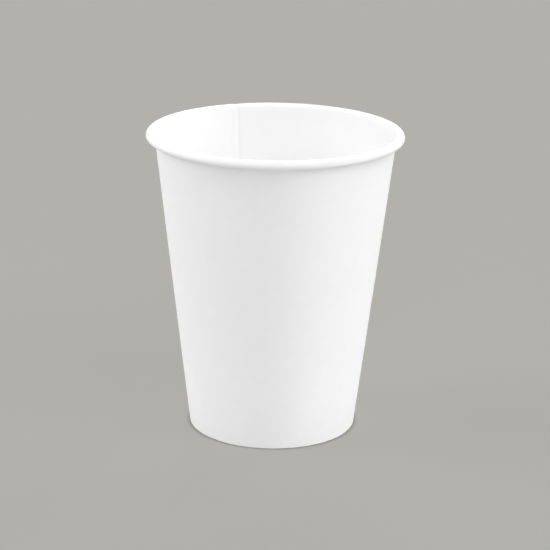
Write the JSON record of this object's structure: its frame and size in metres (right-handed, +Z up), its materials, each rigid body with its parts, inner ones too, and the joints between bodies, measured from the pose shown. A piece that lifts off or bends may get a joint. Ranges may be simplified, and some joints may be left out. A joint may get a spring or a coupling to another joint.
{
  "type": "paper cup",
  "caption": "Plain white paper cup for hot drinks: a tapered wall with a lapped side seam, a rolled rim, and a recessed bottom disc clamped in a folded foot.",
  "frame": {"origin": "centre of the ring that the cup stands on, at the table", "axes": "+Z up along the cup's axis, +X to the cup's right and +Y to its back, where the side seam is"},
  "size_m": [0.09, 0.09, 0.107],
  "materials": {
    "cup_board": "matte",
    "bottom_board": "matte"
  },
  "bodies": {
    "root": {"sidewall": "cup_board", "bottom_disc": "bottom_board"}
  },
  "joints": []
}
